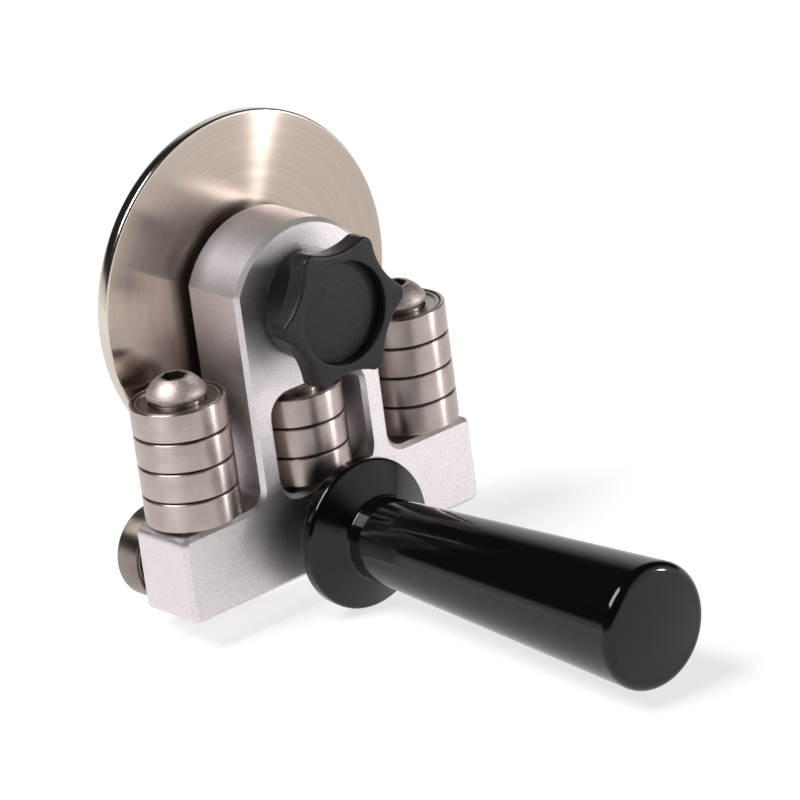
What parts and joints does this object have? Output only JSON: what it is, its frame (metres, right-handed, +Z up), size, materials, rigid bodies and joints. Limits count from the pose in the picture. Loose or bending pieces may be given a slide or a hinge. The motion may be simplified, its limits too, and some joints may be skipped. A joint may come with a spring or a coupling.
{
  "type": "hand-held disc bender",
  "caption": "Hand-held bending tool: a turning steel disc beside stacked ball-bearing rollers on an aluminium block, with a clamping knob and a tapered black handle.",
  "frame": {"origin": "centre of the block's flat underside", "axes": "+X along the block to the user's right, +Y from the handle towards the disc, +Z up the bearing stacks"},
  "size_m": [0.1036, 0.167, 0.1325],
  "materials": {
    "block_aluminium": "bead-blasted, with smooth milled corner roundings",
    "handle_phenolic": "moulded, polished black",
    "insert_brass": "turned",
    "screw_steel": "cold-headed stainless, slightly mottled",
    "washer_steel": "punched and tumbled",
    "bearing_steel": "hardened and ground",
    "shield_steel": "pressed sheet",
    "cage_polymer": "moulded",
    "disc_steel": "face-turned, with a polished rim",
    "knob_polymer": "moulded with a fine grain"
  },
  "bodies": {
    "block": {"body_block": "block_aluminium", "handle_grip": "handle_phenolic", "handle_insert": "insert_brass", "handle_stud": "screw_steel", "left_stack_screw": "screw_steel", "right_stack_screw": "screw_steel", "middle_stack_axle": "screw_steel", "roller_screws": "screw_steel", "disc_axle": "screw_steel", "left_stack_washers": "washer_steel", "right_stack_washers": "washer_steel", "middle_stack_washers": "washer_steel", "roller_spacers": "washer_steel", "disc_spacer": "washer_steel", "stack_inner_rings": "bearing_steel", "stack_balls": "bearing_steel", "roller_inner_rings": "bearing_steel", "roller_balls": "bearing_steel", "disc_inner_ring": "bearing_steel", "disc_balls": "bearing_steel", "stack_cages": "cage_polymer", "roller_cages": "cage_polymer", "disc_cage": "cage_polymer"},
    "left_bearing_1": {"left_ring_1": "bearing_steel", "left_shields_1": "shield_steel"},
    "left_bearing_2": {"left_ring_2": "bearing_steel", "left_shields_2": "shield_steel"},
    "left_bearing_3": {"left_ring_3": "bearing_steel", "left_shields_3": "shield_steel"},
    "left_bearing_4": {"left_ring_4": "bearing_steel", "left_shields_4": "shield_steel"},
    "right_bearing_1": {"right_ring_1": "bearing_steel", "right_shields_1": "shield_steel"},
    "right_bearing_2": {"right_ring_2": "bearing_steel", "right_shields_2": "shield_steel"},
    "right_bearing_3": {"right_ring_3": "bearing_steel", "right_shields_3": "shield_steel"},
    "right_bearing_4": {"right_ring_4": "bearing_steel", "right_shields_4": "shield_steel"},
    "middle_bearing_1": {"middle_ring_1": "bearing_steel", "middle_shields_1": "shield_steel"},
    "middle_bearing_2": {"middle_ring_2": "bearing_steel", "middle_shields_2": "shield_steel"},
    "middle_bearing_3": {"middle_ring_3": "bearing_steel", "middle_shields_3": "shield_steel"},
    "left_roller": {"left_roller_ring": "bearing_steel", "left_roller_shields": "shield_steel"},
    "right_roller": {"right_roller_ring": "bearing_steel", "right_roller_shields": "shield_steel"},
    "disc": {"bending_disc": "disc_steel", "disc_outer_ring": "bearing_steel", "disc_shields": "shield_steel", "disc_retaining_ring": "screw_steel"},
    "knob_carrier": {"knob_washer": "washer_steel"},
    "knob": {"knob_body": "knob_polymer", "knob_insert": "insert_brass", "knob_cap": "knob_polymer"}
  },
  "joints": [
    {"name": "left_bearing_1_spin", "type": "hinge", "parent": "block", "child": "left_bearing_1", "pos_m": [-0.0388, -0.0005, 0.04], "axis": [0, 0, 1], "continuous": true},
    {"name": "left_bearing_2_spin", "type": "hinge", "parent": "block", "child": "left_bearing_2", "pos_m": [-0.0388, -0.0005, 0.04], "axis": [0, 0, 1], "continuous": true},
    {"name": "left_bearing_3_spin", "type": "hinge", "parent": "block", "child": "left_bearing_3", "pos_m": [-0.0388, -0.0005, 0.04], "axis": [0, 0, 1], "continuous": true},
    {"name": "left_bearing_4_spin", "type": "hinge", "parent": "block", "child": "left_bearing_4", "pos_m": [-0.0388, -0.0005, 0.04], "axis": [0, 0, 1], "continuous": true},
    {"name": "right_bearing_1_spin", "type": "hinge", "parent": "block", "child": "right_bearing_1", "pos_m": [0.0388, -0.0005, 0.04], "axis": [0, 0, 1], "continuous": true},
    {"name": "right_bearing_2_spin", "type": "hinge", "parent": "block", "child": "right_bearing_2", "pos_m": [0.0388, -0.0005, 0.04], "axis": [0, 0, 1], "continuous": true},
    {"name": "right_bearing_3_spin", "type": "hinge", "parent": "block", "child": "right_bearing_3", "pos_m": [0.0388, -0.0005, 0.04], "axis": [0, 0, 1], "continuous": true},
    {"name": "right_bearing_4_spin", "type": "hinge", "parent": "block", "child": "right_bearing_4", "pos_m": [0.0388, -0.0005, 0.04], "axis": [0, 0, 1], "continuous": true},
    {"name": "middle_bearing_1_spin", "type": "hinge", "parent": "block", "child": "middle_bearing_1", "pos_m": [0, -0.0005, 0.04], "axis": [0, 0, 1], "continuous": true},
    {"name": "middle_bearing_2_spin", "type": "hinge", "parent": "block", "child": "middle_bearing_2", "pos_m": [0, -0.0005, 0.04], "axis": [0, 0, 1], "continuous": true},
    {"name": "middle_bearing_3_spin", "type": "hinge", "parent": "block", "child": "middle_bearing_3", "pos_m": [0, -0.0005, 0.04], "axis": [0, 0, 1], "continuous": true},
    {"name": "left_roller_spin", "type": "hinge", "parent": "block", "child": "left_roller", "pos_m": [-0.0388, 0.0155, 0.0115], "axis": [0, 1, 0], "continuous": true},
    {"name": "right_roller_spin", "type": "hinge", "parent": "block", "child": "right_roller", "pos_m": [0.0388, 0.0155, 0.0115], "axis": [0, 1, 0], "continuous": true},
    {"name": "disc_spin", "type": "hinge", "parent": "block", "child": "disc", "pos_m": [0, 0.0194, 0.07495], "axis": [0, 1, 0], "continuous": true},
    {"name": "knob_travel", "type": "slide", "parent": "block", "child": "knob_carrier", "axis": [0, -1, 0], "range_m": [0, 0.0045]},
    {"name": "knob_turn", "type": "hinge", "parent": "knob_carrier", "child": "knob", "pos_m": [0, -0.02, 0.07495], "axis": [0, -1, 0], "range_deg": [0, 1080]}
  ],
  "couplings": [
    {"joint": "knob_travel", "follows": "knob_turn", "m_per_rad": 0.00023873}
  ]
}
